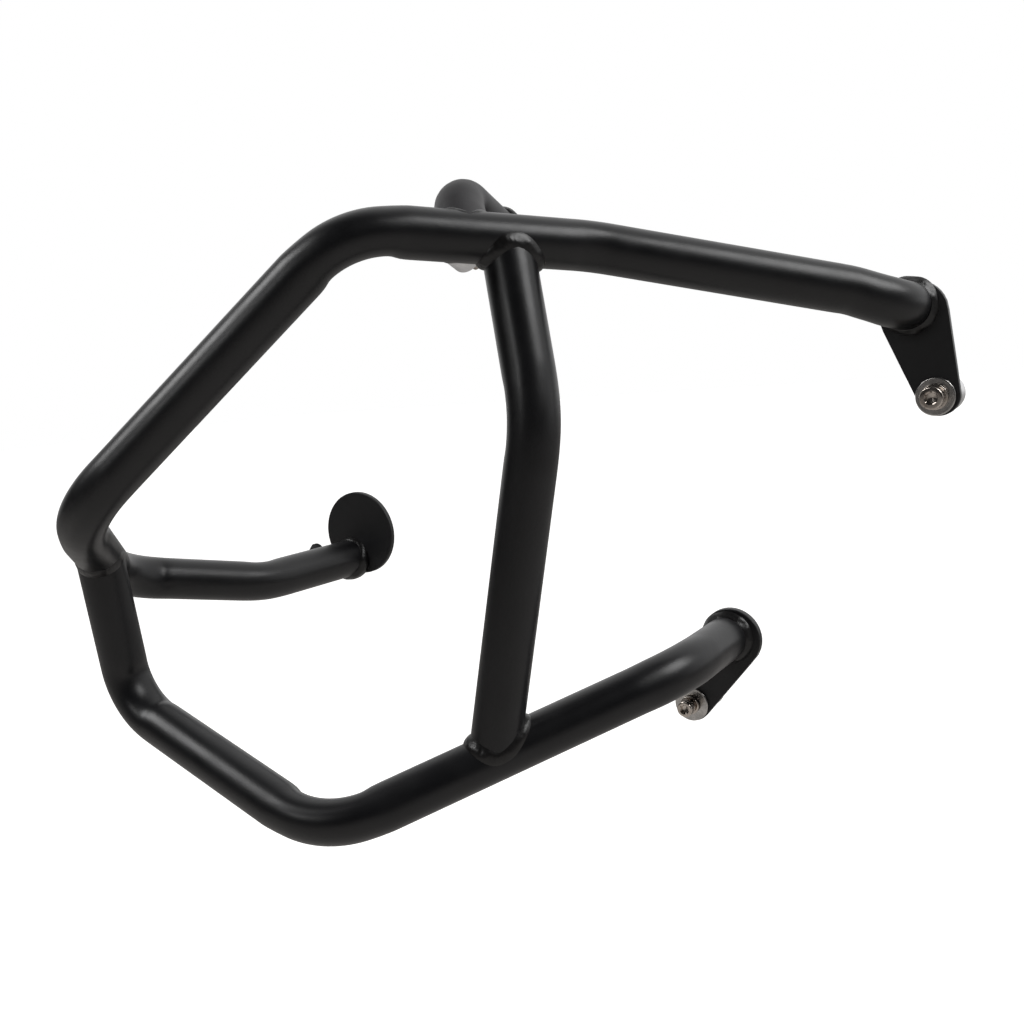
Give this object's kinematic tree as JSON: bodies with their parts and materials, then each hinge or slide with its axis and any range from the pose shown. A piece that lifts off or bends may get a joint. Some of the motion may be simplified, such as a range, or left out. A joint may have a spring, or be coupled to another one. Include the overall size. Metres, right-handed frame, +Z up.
{
  "type": "motorcycle crash bars",
  "caption": "Bent and welded round-tube crash bar for one side of a motorcycle, with an upright brace, teardrop mounting plates, a front pad and screws with spacers.",
  "frame": {"origin": "on the axis of the upper rear screw, at the end face of its spacer, where the motorcycle's frame begins", "axes": "+X rearward along the motorcycle, +Y inboard towards its middle and along the upper rear screw, +Z up"},
  "size_m": [0.4816, 0.346, 0.3516],
  "materials": {
    "powder_coat": "satin black powder coat, very fine grain",
    "powder_coat_smooth": "smoother satin black powder coat",
    "coated_weld": "satin black powder coat over a rippled weld bead",
    "bright_screw": "bright stainless steel, turned",
    "washer_steel": "stainless steel, lightly brushed",
    "spacer_aluminium": "light grey turned aluminium"
  },
  "bodies": {
    "root": {"main_tube": "powder_coat", "lower_tube": "powder_coat", "brace_tube": "powder_coat", "stub_tube": "powder_coat_smooth", "upper_rear_plate": "powder_coat", "lower_rear_plate": "powder_coat", "stub_plate": "powder_coat", "front_disc": "powder_coat", "arm_lug": "powder_coat", "brace_top_weld": "coated_weld", "brace_bottom_weld": "coated_weld", "front_joint_weld": "coated_weld", "stub_base_weld": "coated_weld", "stub_plate_weld": "coated_weld", "upper_rear_weld": "coated_weld", "lower_rear_weld": "coated_weld", "front_disc_weld": "coated_weld", "upper_rear_screw": "bright_screw", "upper_rear_lock_washer": "bright_screw", "upper_rear_flat_washer": "washer_steel", "upper_rear_spacer": "spacer_aluminium", "lower_rear_screw": "bright_screw", "lower_rear_lock_washer": "bright_screw", "lower_rear_flat_washer": "washer_steel", "lower_rear_spacer": "spacer_aluminium", "stub_screw": "bright_screw", "stub_lock_washer": "bright_screw", "stub_flat_washer": "washer_steel", "stub_spacer": "spacer_aluminium"}
  },
  "joints": []
}
